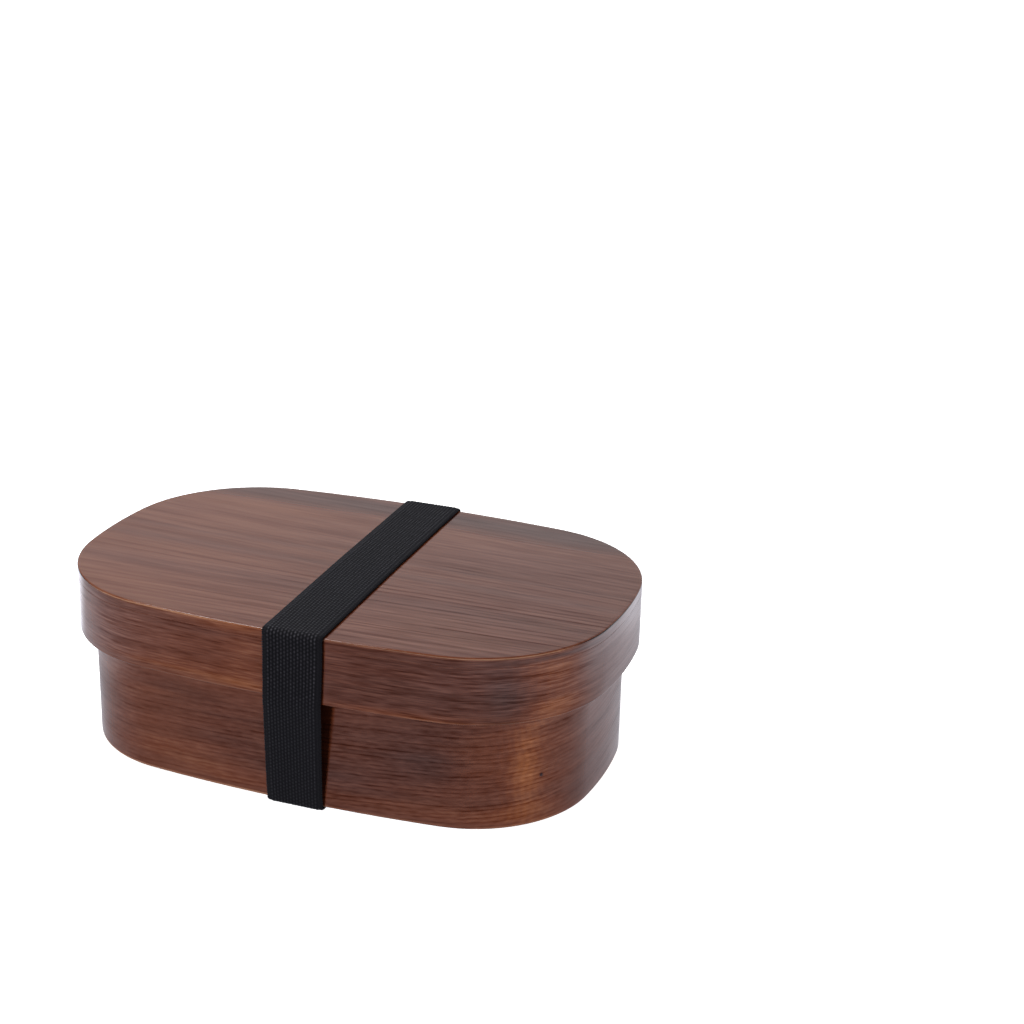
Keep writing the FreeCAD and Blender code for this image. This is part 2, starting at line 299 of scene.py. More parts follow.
# ------------------------------------------------------------------ materials
class Graph:
    """A node material, written as sums and products of its nodes' outputs."""

    def __init__(self, name):
        self.m = bpy.data.materials.new(name)
        self.m.use_nodes = True
        self.t = self.m.node_tree
        self.t.nodes.clear()
        self.out = self.t.nodes.new("ShaderNodeOutputMaterial")
        self.bsdf = self.t.nodes.new("ShaderNodeBsdfPrincipled")
        self.t.links.new(self.bsdf.outputs[0], self.out.inputs["Surface"])

    def put(self, socket, value):
        if isinstance(value, bpy.types.NodeSocket):
            self.t.links.new(value, socket)
        else:
            socket.default_value = value

    def math(self, op, a, b=None, c=None, clamp=False):
        n = self.t.nodes.new("ShaderNodeMath")
        n.operation = op
        n.use_clamp = clamp
        for s, x in zip(n.inputs, (a, b, c)):
            if x is not None:
                self.put(s, x)
        return n.outputs[0]

    def add(self, *terms):
        r = terms[0]
        for t in terms[1:]:
            r = self.math("ADD", r, t)
        return r

    def mul(self, *terms):
        r = terms[0]
        for t in terms[1:]:
            r = self.math("MULTIPLY", r, t)
        return r

    def sub(self, a, b):
        return self.math("SUBTRACT", a, b)

    def madd(self, a, b, c):
        return self.math("MULTIPLY_ADD", a, b, c)

    def xyz(self, x, y, z=0.0):
        n = self.t.nodes.new("ShaderNodeCombineXYZ")
        for s, v in zip(n.inputs, (x, y, z)):
            self.put(s, v)
        return n.outputs[0]

    def uv(self, name):
        n = self.t.nodes.new("ShaderNodeUVMap")
        n.uv_map = name
        p = self.t.nodes.new("ShaderNodeSeparateXYZ")
        self.t.links.new(n.outputs[0], p.inputs[0])
        return p.outputs[0], p.outputs[1]

    def value(self, name):
        n = self.t.nodes.new("ShaderNodeAttribute")
        n.attribute_name = name
        return n.outputs["Fac"]

    def noise(self, u, v, su, sv, seed, detail=2.0, rough=0.5):
        """Noise about 0 with its own grain size along and across, from -0.5 to 0.5."""
        n = self.t.nodes.new("ShaderNodeTexNoise")
        n.noise_dimensions = "3D"
        self.put(n.inputs["Vector"], self.xyz(self.mul(u, su), self.mul(v, sv), seed))
        n.inputs["Scale"].default_value = 1.0
        n.inputs["Detail"].default_value = detail
        n.inputs["Roughness"].default_value = rough
        return self.sub(n.outputs["Fac"], 0.5)

    def scatter(self, w):
        n = self.t.nodes.new("ShaderNodeTexWhiteNoise")
        n.noise_dimensions = "1D"
        self.put(n.inputs["W"], w)
        return n.outputs["Value"]

    def remap(self, x, a, b, c, d, smooth=True):
        n = self.t.nodes.new("ShaderNodeMapRange")
        n.interpolation_type = "SMOOTHSTEP" if smooth else "LINEAR"
        for s, v in zip(n.inputs, (x, a, b, c, d)):
            self.put(s, v)
        return n.outputs["Result"]

    def bell(self, x, mid, half):
        """1 at mid, falling off either side."""
        k = self.mul(self.sub(x, mid), 1.0 / half)
        return self.math("EXPONENT", self.mul(k, k, -1.0))

    def spot(self, u, v, u0, v0, su, sv):
        a = self.mul(self.sub(u, u0), 1.0 / su)
        b = self.mul(self.sub(v, v0), 1.0 / sv)
        return self.math("EXPONENT", self.mul(self.madd(a, a, self.mul(b, b)), -1.0))

    def ramp(self, x, stops):
        n = self.t.nodes.new("ShaderNodeValToRGB")
        self.put(n.inputs[0], x)
        e = n.color_ramp.elements
        while len(e) < len(stops):
            e.new(0.5)
        for el, (p, c) in zip(e, stops):
            el.position = p
            el.color = (*c, 1.0)
        return n.outputs["Color"]

    def mix(self, share, a, b):
        n = self.t.nodes.new("ShaderNodeMix")
        n.data_type = "RGBA"
        for k, x in ((0, share), (6, a), (7, b)):
            self.put(n.inputs[k], x)
        return n.outputs[2]

    def bump(self, height, strength, distance):
        n = self.t.nodes.new("ShaderNodeBump")
        n.inputs["Strength"].default_value = strength
        n.inputs["Distance"].default_value = distance
        self.put(n.inputs["Height"], height)
        self.put(self.bsdf.inputs["Normal"], n.outputs[0])


# cedar under a wiped dark lacquer, from where the stain is thin to where it is thick
CEDAR = [
    (0.00, (0.365, 0.124, 0.036)),
    (0.20, (0.232, 0.070, 0.0205)),
    (0.42, (0.134, 0.0325, 0.0105)),
    (0.62, (0.078, 0.0188, 0.0082)),
    (0.82, (0.040, 0.0104, 0.0058)),
    (1.00, (0.017, 0.0048, 0.0036)),
]
# the same where the lacquer has pooled and gone grey
GREYED = [
    (0.00, (0.290, 0.112, 0.042)),
    (0.20, (0.180, 0.060, 0.0240)),
    (0.42, (0.104, 0.0305, 0.0140)),
    (0.62, (0.059, 0.0190, 0.0116)),
    (0.82, (0.030, 0.0122, 0.0098)),
    (1.00, (0.013, 0.0072, 0.0072)),
]
# pale tan where the stain is rubbed thin at the edges; along the lid's top edge it is also a painted highlight line
RUBBED_AND_HIGHLIGHT = (0.46, 0.26, 0.16, 1.0)


def cedar(
    name,
    seed,
    pitch,
    lines,
    tone=0.47,
    warp=3.0,
    waver=0.55,
    fibre=0.20,
    fibre_u=0.075,
    fibre_v=0.80,
    streak=0.18,
    streak_u=0.028,
    streak_v=0.33,
    cloud=0.16,
    cloud_u=0.018,
    cloud_v=0.085,
    pores=0.16,
    grey=0.35,
    wear=0.26,
    spots=(),
    bands=(),
    slope=None,
    line_fade=None,
    line_u=0.05,
    line_side=None,
    fade=(0.15, 1.20),
    uneven=2.2,
    slant=None,
    depth=0.33,
    gleam=2.2,
    clear_v=None,
    clear_u=(),
    worn_and_lit_u=(),
    ripples=(),
    knots=(),
    shine=(0.11, 0.22),
    relief=0.03,
):
    """Straight grain along u. pitch is the growth rings' spacing in mm, lines how dark their late wood is."""
    g = Graph(name)
    u, v = g.uv("grain")
    # wear of the edges, which on the lid's top edge also carries a painted highlight line
    worn_and_lit = g.value("wear")
    for stretch in worn_and_lit_u:
        worn_and_lit = g.mul(worn_and_lit, g.remap(u, *stretch))
    # the grain drifts slowly across the strip, and wavers a little
    slow = g.noise(u, v, 0.0055, 0.012, seed, 1.0)
    quick = g.noise(u, v, 0.030, 0.10, seed + 1.7, 2.0)
    vw = g.madd(slow, warp, g.madd(quick, waver, v))
    if slant:
        along = g.sub(u, slant[0])
        vw = g.madd(g.math("MAXIMUM", along, 0.0), g.remap(v, *slant[1]), vw)
        vw = g.madd(g.math("MINIMUM", along, 0.0), g.remap(v, *slant[2]), vw)
    # growth rings: slow rise from early to late wood, then a sharp end
    space = g.noise(u, vw, 0.0012, 0.11, seed + 3.3, 2.0)
    ring = g.madd(vw, 1.0 / pitch, g.mul(space, uneven))
    t = g.math("FRACT", ring)
    late = g.mul(g.remap(t, 0.35, 0.88, 0.0, 1.0), g.remap(t, 0.92, 1.0, 1.0, 0.0))
    own = g.remap(g.scatter(g.math("FLOOR", ring)), 0.0, 1.0, 0.45, 1.25, False)
    fades = g.remap(g.noise(u, ring, line_u, 0.6, seed + 5.1, 3.0), -0.22, 0.16, *fade)
    line = g.mul(late, own, fades)
    if line_fade:
        line = g.mul(line, g.remap(v, *line_fade))
    if line_side:
        line = g.mul(line, g.remap(u, *line_side))
    # fibres and pores, longer streaks of stain, and broad patches
    fine = g.noise(u, vw, fibre_u, fibre_v, seed + 7.7, 2.0, 0.62)
    hair = g.noise(u, vw, fibre_u * 2.8, fibre_v * 1.6, seed + 9.2, 1.0, 0.5)
    short = g.noise(u, vw, streak_u, streak_v, seed + 11.4, 2.0, 0.55)
    mist = g.noise(u, v, cloud_u, cloud_v, seed + 13.9, 2.0)
    pore = g.remap(g.noise(u, vw, fibre_u * 1.2, fibre_v * 1.25, seed + 15.8, 1.0), 0.06, 0.20, 0.0, 1.0)
    grain = g.madd(line, lines, -0.30 * lines - 0.15 * pores)
    grain = g.madd(fine, fibre * 2.0, grain)
    grain = g.madd(hair, fibre * 2.6, grain)
    grain = g.madd(pore, pores, grain)
    if clear_v:
        grain = g.mul(grain, g.remap(v, *clear_v))
    for stretch in clear_u:
        grain = g.mul(grain, g.remap(u, *stretch))
    f = g.madd(grain, depth, tone)
    f = g.madd(short, streak * 2.0, f)
    f = g.madd(mist, cloud * 2.0, f)
    if slope:
        f = g.add(f, g.remap(u, *slope))
    for v0, half, amount in bands:
        f = g.madd(g.bell(g.madd(quick, 5.0, g.madd(slow, 3.0, v)), v0, half), amount, f)
    for u0, v0, su, sv, amount in spots:
        us = g.madd(g.noise(u, v, 0.05, 0.3, seed + u0, 2.0), su * 0.9, u)
        vs = g.madd(short, sv * 0.9, v)
        f = g.madd(g.spot(us, vs, u0, v0, su, sv), amount, f)
    height = g.madd(line, -0.55, g.mul(fine, 0.9))
    height = g.madd(hair, 0.35, g.madd(pore, -0.4, height))
    for u0, su, step, amount in ripples:
        r = g.math("SINE", g.mul(g.madd(short, 2.4, g.madd(quick, 9.0, u)), 2 * math.pi / step))
        r = g.mul(r, g.bell(u, u0, su))
        f = g.madd(r, amount, f)
        height = g.madd(r, 0.3, height)
    for u0, v0, ru, rv in knots:
        k = g.spot(g.madd(fine, ru, u), v, u0, v0, ru, rv)
        f = g.madd(k, 0.95, f)
        height = g.madd(k, -0.6, height)
    # the stain rubs thin along the edges; the same pale colour also paints the highlight line along the lid's eased top
    # edge
    rub_and_highlight = g.mul(worn_and_lit, g.remap(g.add(short, g.mul(mist, 0.8)), -0.20, 0.14, 0.25, 1.0))
    f = g.math("SUBTRACT", f, g.mul(rub_and_highlight, wear), clamp=True)
    pooled = g.remap(g.noise(u, vw, 0.022, 0.22, seed + 17.3, 2.0, 0.6), -0.10, 0.16, 0.0, grey)
    colour = g.mix(pooled, g.ramp(f, CEDAR), g.ramp(f, GREYED))
    colour = g.mix(g.mul(rub_and_highlight, rub_and_highlight, 0.62), colour, RUBBED_AND_HIGHLIGHT)
    g.put(g.bsdf.inputs["Base Color"], colour)
    gloss = g.remap(g.add(g.mul(fine, 0.8), g.mul(short, 0.7), g.mul(line, 0.25)), -0.35, 0.45, *shine)
    gloss = g.madd(rub_and_highlight, 0.28, gloss)
    g.put(g.bsdf.inputs["Roughness"], gloss)
    g.bsdf.inputs["IOR"].default_value = 1.37
    # the lacquer lies thinner and duller in the dark lines, so they gleam less
    dull = g.madd(grain, gleam, g.mul(short, 1.3))
    g.put(g.bsdf.inputs["Specular IOR Level"], g.remap(dull, -1.0, 0.9, 1.0, 0.05, False))
    g.bump(height, relief, 0.00020)
    return g.m


def webbing(name, column, cell, field, tooth):
    """Knitted elastic: stitches in columns, each column half a stitch on from the next. Beyond field, from the middle, the
    edge is a plain dense border with short ridges across, tooth apart."""
    g = Graph(name)
    u, v = g.uv("weave")
    side = g.math("ABSOLUTE", u)
    up = g.math("COSINE", g.mul(u, math.pi / column))
    along = g.math("COSINE", g.mul(v, 2 * math.pi / cell))
    stitch = g.mul(up, along)
    inner = g.remap(side, field - 0.15, field + 0.15, 1.0, 0.0)
    lane = g.math("FLOOR", g.madd(u, 1.0 / column, 0.5))
    each = g.scatter(g.madd(lane, 37.3, g.math("FLOOR", g.mul(v, 1.0 / cell))))
    fuzz = g.noise(u, v, 4.5, 2.6, 4.4, 3.0, 0.65)
    wide = g.noise(u, v, 0.10, 0.035, 8.8, 2.0)
    yarn = g.remap(g.madd(stitch, 0.31, g.mul(up, up, 0.69)), 0.0, 0.95, 0.0, 1.0)
    row = g.bell(side, field - 0.55 * column, 0.42 * column)
    web = g.mul(yarn, g.madd(each, 0.24, g.madd(row, 0.10, 0.42)))
    # painted light and shade: the stitches' contrast is turned down low on the front and over the top, and left full on
    # the front of the lid, as the light falls on the band
    lit_contrast = g.mul(g.remap(v, 84.0, 102.0, 0.55, 1.0), g.remap(v, 119.0, 126.0, 1.0, 0.6))
    web = g.madd(g.sub(web, 0.22), lit_contrast, 0.22)
    # painted highlight: the stitches at the lid's top-front bend are brightened, a row of glints where the band turns
    # over the edge
    web = g.madd(g.mul(yarn, g.bell(v, 118.2, 2.0)), 0.22, web)
    ridge = g.math("COSINE", g.mul(g.madd(side, 0.6, v), 2 * math.pi / tooth))
    border = g.madd(ridge, 0.10, 0.14)
    tone = g.add(g.mul(g.sub(web, border), inner), border)
    tone = g.add(tone, g.mul(fuzz, 0.20), g.mul(wide, 0.16), 0.02)
    colour = g.ramp(
        tone,
        [
            (0.00, (0.0046, 0.0044, 0.0056)),
            (0.25, (0.0082, 0.0079, 0.0098)),
            (0.55, (0.0190, 0.0184, 0.0222)),
            (1.00, (0.0600, 0.0590, 0.0680)),
        ],
    )
    g.put(g.bsdf.inputs["Base Color"], colour)
    g.put(g.bsdf.inputs["Roughness"], g.remap(g.add(yarn, fuzz), 0.0, 1.2, 0.85, 0.48))
    g.bsdf.inputs["IOR"].default_value = 1.45
    g.bsdf.inputs["Specular IOR Level"].default_value = 0.11
    g.bsdf.inputs["Sheen Weight"].default_value = 0.035
    g.bsdf.inputs["Sheen Roughness"].default_value = 0.5
    g.bsdf.inputs["Sheen Tint"].default_value = (0.72, 0.80, 1.0, 1.0)
    g.bump(g.add(g.mul(yarn, inner), g.mul(fuzz, 0.5)), 0.4, 0.00020)
    return g.m


def thread(name):
    """Spun sewing thread: plies that turn round its length."""
    g = Graph(name)
    u, v = g.uv("weave")
    ply = g.math("SINE", g.mul(g.add(g.mul(u, 5.2), g.mul(v, 2.4)), math.pi))
    fuzz = g.noise(u, v, 6.0, 6.0, 2.2, 3.0, 0.6)
    tone = g.add(0.45, g.mul(ply, 0.28), g.mul(fuzz, 0.5))
    g.put(
        g.bsdf.inputs["Base Color"],
        g.ramp(tone, [(0.0, (0.004, 0.004, 0.005)), (0.5, (0.014, 0.014, 0.017)), (1.0, (0.035, 0.035, 0.04))]),
    )
    g.put(g.bsdf.inputs["Roughness"], g.remap(ply, -1.0, 1.0, 0.75, 0.5))
    g.bump(g.madd(ply, 0.5, fuzz), 0.6, 0.0001)
    return g.m


# ------------------------------------------------------------------ the wood
LID_LOW, LID_JOINT, TOP = 39.45, 58.25, 61.65
BOX_LOW, BOX_RIM = 1.25, 54.25
FRONT = 2 * QUARTER  # the middle of the front, along the outline
LID_LAP, BOX_LAP = 30.0, 44.0  # where the strips' outer ends lie, at the back

lid_wood = cedar(
    "cedar_lid_wall",
    seed=2.31,
    # the pale edge colour only along the front: rubbed edges there, and a painted highlight line where the eased top
    # edge catches the light
    worn_and_lit_u=[(FRONT - 106.0, FRONT - 88.0, 0.0, 1.0), (FRONT + 62.0, FRONT + 84.0, 1.0, 0.0)],
    waver=0.20,
    cloud_u=0.01,
    cloud_v=0.09,
    grey=0.25,
    depth=0.42,
    gleam=2.6,
    clear_u=[(FRONT - 112.0, FRONT - 84.0, 0.30, 1.0), (FRONT - 10.0, FRONT + 40.0, 1.1, 0.9), (FRONT + 60.0, FRONT + 86.0, 1.0, 0.28), (FRONT - 180.0, FRONT - 135.0, 2.4, 1.0), (FRONT + 135.0, FRONT + 180.0, 1.0, 2.8)],
    pitch=1.45,
    lines=0.1,
    tone=0.55,
    warp=1.2,
    fibre=0.35,
    fibre_u=0.055,
    fibre_v=1.40,
    streak=0.15,
    streak_u=0.02,
    streak_v=0.46,
    cloud=0.07,
    pores=0.16,
    # darker on the right half and lighter on the left half: partly the wood's own tone, partly painted shade from light
    # falling from the left
    slope=(FRONT - 20.0, FRONT + 40.0, 0.07, -0.05),
    spots=[
        (FRONT + 24.0, 43.0, 26.0, 4.0, -0.06),
        (FRONT + 26.0, 58.0, 22.0, 2.0, 0.05),
        (FRONT + 18.0, 60.2, 20.0, 1.6, -0.16),
        (FRONT + 11.0, 50.0, 9.0, 14.0, -0.11),
        (FRONT + 14.0, 41.6, 15.0, 1.5, -0.16),
        (FRONT + 42.0, 42.4, 22.0, 0.9, -0.12),
        (FRONT - 42.0, 40.4, 28.0, 1.7, -0.20),
        (FRONT - 72.0, 50.0, 6.0, 8.0, 0.17),
        (FRONT - 94.0, 59.6, 14.0, 0.8, 0.26),
        # painted shade: the top edge darkened towards both ends, where the eased edge mirrors little light
        (FRONT - 112.0, 61.4, 20.0, 0.45, 0.45),
        (FRONT + 92.0, 61.4, 22.0, 0.45, 0.45),
        # painted light: lighter patches round the right-front corner, where light falls on the corner
        (FRONT - 84.0, 55.5, 12.0, 4.0, -0.16),
        (FRONT - 91.0, 50.0, 10.0, 14.0, -0.19),
        (FRONT - 85.0, 43.0, 8.0, 4.0, -0.17),
        (FRONT - 97.0, 43.0, 12.0, 3.0, -0.12),
    ],
    ripples=[(FRONT - 82.0, 14.0, 3.1, 0.015)],
)
box_wood = cedar(
    "cedar_box_wall",
    seed=5.77,
    waver=0.30,
    grey=0.25,
    depth=0.33,
    gleam=2.2,
    clear_u=[(FRONT - 112.0, FRONT - 84.0, 0.30, 1.0), (FRONT - 10.0, FRONT + 40.0, 1.0, 0.62), (FRONT + 60.0, FRONT + 86.0, 1.0, 0.28), (FRONT - 180.0, FRONT - 135.0, 2.4, 1.0), (FRONT + 135.0, FRONT + 180.0, 1.0, 2.8)],
    uneven=1.1,
    fade=(0.30, 1.15),
    slant=(FRONT, (0.0, 1.0, 0.035, 0.035), (0.0, 40.0, 0.060, 0.040)),
    pitch=1.5,
    lines=0.36,
    tone=0.555,
    warp=1.4,
    fibre=0.3,
    fibre_u=0.090,
    fibre_v=0.8,
    streak=0.14,
    streak_u=0.036,
    streak_v=0.30,
    cloud=0.16,
    pores=0.12,
    line_u=0.09,
    # darker on the right half and lighter on the left half: partly the wood's own tone, partly painted shade from light
    # falling from the left
    slope=(FRONT - 20.0, FRONT + 40.0, 0.07, -0.04),
    spots=[
        (FRONT - 47.0, 23.0, 10.0, 4.5, 0.14),
        # painted light: lighter patches round the right-front corner, where light falls on the corner
        (FRONT - 62.0, 27.0, 14.0, 7.0, -0.12),
        (FRONT - 66.0, 24.0, 15.0, 18.0, -0.07),
        (FRONT - 81.5, 20.5, 6.0, 13.0, -0.30),
        (FRONT - 90.0, 22.0, 16.0, 26.0, -0.16),
        (FRONT + 44.0, 33.0, 16.0, 4.0, 0.08),
        (FRONT + 40.0, 8.0, 34.0, 7.0, -0.04),
        (FRONT + 56.0, 26.0, 22.0, 22.0, -0.06),
        (FRONT - 40.0, 5.0, 60.0, 4.0, -0.12),
        (FRONT - 78.0, 6.0, 16.0, 4.5, -0.12),
    ],
    ripples=[(FRONT - 80.0, 12.0, 2.9, 0.022)],
    knots=[(FRONT - 87.6, 17.3, 0.55, 0.5)],
)
top_wood = cedar(
    "cedar_lid_top",
    seed=8.13,
    depth=0.28,
    gleam=1.6,
    clear_v=(-34.0, 20.0, 1.10, 0.80),
    clear_u=[(-60.0, 40.0, 0.34, 1.05)],
    fade=(0.45, 1.10),
    uneven=2.3,
    slant=(0.0, (-45.0, 15.0, -0.055, 0.030), (-45.0, 15.0, 0.0, 0.06)),
    pitch=2.65,
    lines=0.46,
    tone=0.43,
    warp=4.0,
    fibre=0.22,
    fibre_u=0.034,
    fibre_v=0.58,
    streak=0.145,
    streak_u=0.020,
    streak_v=0.33,
    cloud=0.06,
    cloud_u=0.010,
    cloud_v=0.05,
    pores=0.10,
    grey=0.12,
    line_u=0.020,
    slope=(-70.0, 60.0, -0.05, 0.05),
    bands=[
        (51.0, 7.0, 0.26),
        (36.0, 5.0, -0.05),
        (6.0, 1.6, 0.06),
        (-4.5, 2.6, 0.07),
        (-24.0, 5.0, 0.05),
    ],
    line_fade=(-30.0, 28.0, 1.0, 0.5),
)
floor_wood = cedar("cedar_floor", seed=11.9, pitch=3.4, lines=0.30, tone=0.50, warp=6.0, fibre=0.14, fibre_u=0.03, fibre_v=0.62, streak=0.12, streak_u=0.009, streak_v=0.26)
divider_wood = cedar("cedar_divider", seed=15.2, pitch=2.6, lines=0.28, tone=0.46, warp=3.0, fibre=0.16, fibre_u=0.04, fibre_v=0.7, streak=0.14, streak_u=0.012, streak_v=0.3)

lid_hoop = build(
    "lid_hoop_strip",
    [hoop(0.0, 4.4, LID_LOW, LID_JOINT, 0.6, 0.06, 0.35, 0.0, LID_LAP, 0.28, 6)],
    "grain",
    [lid_wood],
    "lid",
)
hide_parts("lid_hoop")

box_hoop = build(
    "box_hoop_strip",
    [hoop(5.2, 9.4, BOX_LOW, BOX_RIM, 0.8, 0.8, 0.9, 0.8, BOX_LAP, 0.28, 12)],
    "grain",
    [box_wood],
    "box",
)
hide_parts("box_hoop")

EASE = 0.6
lid_rings = [(EASE + 0.9, TOP, 0.0)]
# wear round the eased top edge, highest low on the arc where the edge catches the light: rubbed edges, and a painted
# highlight line
for k, (x, z) in enumerate(quarter_arc((EASE, TOP - EASE), EASE, 90, 180, 8)):
    lid_rings.append((x, z, (0.0, 0.0, 0.0, 0.1, 0.4, 0.8, 1.0, 0.8, 0.3)[k]))
lid_rings += [
    (0.0, TOP - EASE - 0.6, 0.0),
    (0.0, LID_JOINT + 0.5, 0.0),
    (0.0, LID_JOINT + 0.06, 0.1),
    (0.06, LID_JOINT, 0.1),
    (4.45, LID_JOINT, 0.0),
    (4.45, BOX_RIM + 0.9, 0.0),
]
for x, z in quarter_arc((4.85, BOX_RIM + 0.4), 0.4, 180, 270, 4):
    lid_rings.append((x, z, 0.3))
lid_rings.append((5.8, BOX_RIM, 0.0))
lid_top = build(
    "lid_top_board",
    [plank(lid_rings, side=(LID_JOINT, TOP - 0.15, LID_LAP))],
    "grain",
    [top_wood, lid_wood],
    "lid",
)
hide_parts("lid_top")

floor_rings = [(10.4, 7.25, 0.0)]
floor_rings += [(x, z, 0.3) for x, z in quarter_arc((9.75, 6.95), 0.3, 90, 180, 4)]
floor_rings += [(x, z, 0.3) for x, z in quarter_arc((9.75, 3.15), 0.3, 180, 270, 4)]
floor_rings.append((10.4, 2.85, 0.0))
box_floor = build("box_floor_board", [plank(floor_rings)], "grain", [floor_wood], "box")
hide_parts("box_floor")


def divider_shell():
    """A thin board on edge, its upper corners rounded and its edges eased."""
    y1, z0, z1, rt, rb = 49.0, 7.35, 50.35, 8.0, 1.2
    half = [(0.0, z1, 0.0, 1.0)]
    half += [((y1 - rt) * i / 8, z1, 0.0, 1.0) for i in range(1, 8)]
    for y, z in quarter_arc((0, 0), 1.0, 90, 0, 12):
        half.append((y1 - rt + rt * y, z1 - rt + rt * z, y, z))
    half += [(y1, z1 - rt - (z1 - rt - z0 - rb) * i / 6, 1.0, 0.0) for i in range(1, 6)]
    for y, z in quarter_arc((0, 0), 1.0, 0, -90, 6):
        half.append((y1 - rb + rb * y, z0 + rb + rb * z, y, z))
    half += [((y1 - rb) * (1 - i / 8), z0, 0.0, -1.0) for i in range(1, 9)]
    loop = half + [(-y, z, -a, b) for y, z, a, b in reversed(half[1:-1])]
    x0, x1, e = 20.5, 23.5, 0.55
    rings = [(e + 0.4, x0, 0.1)]
    rings += [(x, z, 0.8) for x, z in quarter_arc((e, x0 + e), e, 270, 180, 5)]
    rings += [(x, z, 0.8) for x, z in quarter_arc((e, x1 - e), e, 180, 90, 5)]
    rings.append((e + 0.4, x1, 0.1))
    sh = Shell()
    n = len(loop)
    run = 0.0
    offs = []
    for k, (inset, x, wear) in enumerate(rings):
        if k:
            run += math.hypot(inset - rings[k - 1][0], x - rings[k - 1][1])
        offs.append(run)
        for y, z, a, b in loop:
            sh.v.append((x, y - a * inset, z - b * inset))
            sh.wear.append(wear)

    def place(k, i):
        y, z, a, b = loop[i]
        d = offs[k] - rings[0][0]
        return (y + a * d, z + b * d)

    for k in range(len(rings) - 1):
        for i in range(n):
            j = (i + 1) % n
            sh.face(
                (k * n + i, k * n + j, (k + 1) * n + j, (k + 1) * n + i),
                (place(k, i), place(k, j), place(k + 1, j), place(k + 1, i)),
            )
    sh.face(range(n - 1, -1, -1), [place(0, i) for i in range(n - 1, -1, -1)])
    last = (len(rings) - 1) * n
    sh.face(range(last, last + n), [(sh.v[last + i][1] + 200.0, sh.v[last + i][2]) for i in range(n)])
    return sh


divider = build("divider_board", [divider_shell()], "grain", [divider_wood], "divider")
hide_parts("divider")


# ------------------------------------------------------------------ the band
def band_route():
    """The band's inner face in the plane across the box, from the middle of the underside round the front, the top and
    the back: rows of y, z, outward normal y, z and the length so far. Corners are rounded over the wood's eased edges."""
    corners = [
        (-55.1, 1.2, 0.8),
        (-60.3, 38.85, 9.0),
        (-60.3, 61.7, 0.9),
        (60.3, 61.7, 0.9),
        (60.3, 38.85, 9.0),
        (55.1, 1.2, 0.8),
    ]
    start = np.array([0.0, 1.2])
    pts = []

    def straight(a, b, na):
        n = max(1, int(np.linalg.norm(b - a) / 1.0))
        for i in range(n):
            pts.append((*(a + (b - a) * i / n), *na))

    prev = start
    ring = [start] + [np.array(c[:2]) for c in corners] + [start]
    for k, (cy, cz, r) in enumerate(corners):
        c = np.array([cy, cz])
        d0 = (c - ring[k]) / np.linalg.norm(c - ring[k])
        d1 = (ring[k + 2] - c) / np.linalg.norm(ring[k + 2] - c)
        turn = math.acos(max(-1.0, min(1.0, float(np.dot(d0, d1)))))
        cut = r * math.tan(turn / 2)
        n0 = np.array([d0[1], -d0[0]])
        n1 = np.array([d1[1], -d1[0]])
        # the loop runs clockwise seen from +x, so the outside is on one side throughout
        if np.dot(n0, c - np.array([0.0, 31.0])) < 0:
            n0, n1 = -n0, -n1
        a, b = c - d0 * cut, c + d1 * cut
        straight(prev, a, n0)
        mid = a - n0 * r
        steps = max(3, int(turn * (r + 1.2) / 0.28))
        for i in range(steps):
            t = i / steps
            n = n0 * math.sin((1 - t) * turn) / math.sin(turn) + n1 * math.sin(t * turn) / math.sin(turn)
            pts.append((*(mid + n * r), *n))
        prev = b
        last = n1
    straight(prev, start, last)
    p = np.array(pts)
    # lengths are taken on the outer face, so that stitches keep their size round the corners
    skin = p[:, :2] + p[:, 2:] * 1.15
    step = np.linalg.norm(np.roll(skin, -1, axis=0) - skin, axis=1)
    length = np.concatenate([[0.0], np.cumsum(step)])
    return p, length[:-1], float(length[-1])


ROUTE, ALONG, LOOP = band_route()


def where(y, z):
    """Length along the band at the route point nearest to (y, z)."""
    return float(ALONG[np.argmin((ROUTE[:, 0] - y) ** 2 + (ROUTE[:, 1] - z) ** 2)])


def eased(knots, v):
    """Piecewise linear values round the loop, smoothed over a few millimetres."""
    ks = sorted(knots)
    x = np.array([k[0] for k in ks])
    y = np.array([k[1] for k in ks])
    total = np.zeros_like(v)
    for d in (-6.0, -3.0, 0.0, 3.0, 6.0):
        total += np.interp((v + d) % LOOP, np.concatenate([x - LOOP, x, x + LOOP]), np.concatenate([y, y, y]))
    return total / 5


# the band lies a little askew: the place of its middle, and its width, at points round the loop
MIDDLE = [
    (0.0, 3.2),
    (where(-55.2, 2.5), 2.8),
    (where(-60.3, 39.5), 4.8),
    (where(-60.3, 60.0), 5.3),
    (where(0.0, 61.7), 3.0),
    (where(60.3, 60.0), 1.4),
    (where(60.3, 39.5), 2.3),
    (where(55.2, 2.5), 3.4),
]
WIDTH = [
    (0.0, 19.6),
    (where(-55.2, 2.5), 19.7),
    (where(-60.3, 39.5), 20.1),
    (where(-60.3, 60.0), 20.7),
    (where(0.0, 61.7), 20.9),
    (where(60.3, 60.0), 21.0),
    (where(60.3, 39.5), 20.2),
    (where(55.2, 2.5), 19.7),
]
COLUMN = 1.09  # spacing of the columns of stitches
FIELD = 7.5 * COLUMN  # half width of the knitted field, between the borders
STITCHES = round(LOOP / 1.30)
CELL = LOOP / STITCHES
TOOTH = LOOP / round(LOOP / 0.86)


def on_route(v):
    """Route points, normals, middles and widths at lengths v."""
    v = np.asarray(v, float)
    ext = np.concatenate([ALONG, [LOOP]])
    cols = [np.interp(v % LOOP, ext, np.concatenate([ROUTE[:, k], ROUTE[:1, k]])) for k in range(4)]
    n = np.hypot(cols[2], cols[3])
    return cols[0], cols[1], cols[2] / n, cols[3] / n, eased(MIDDLE, v), eased(WIDTH, v)


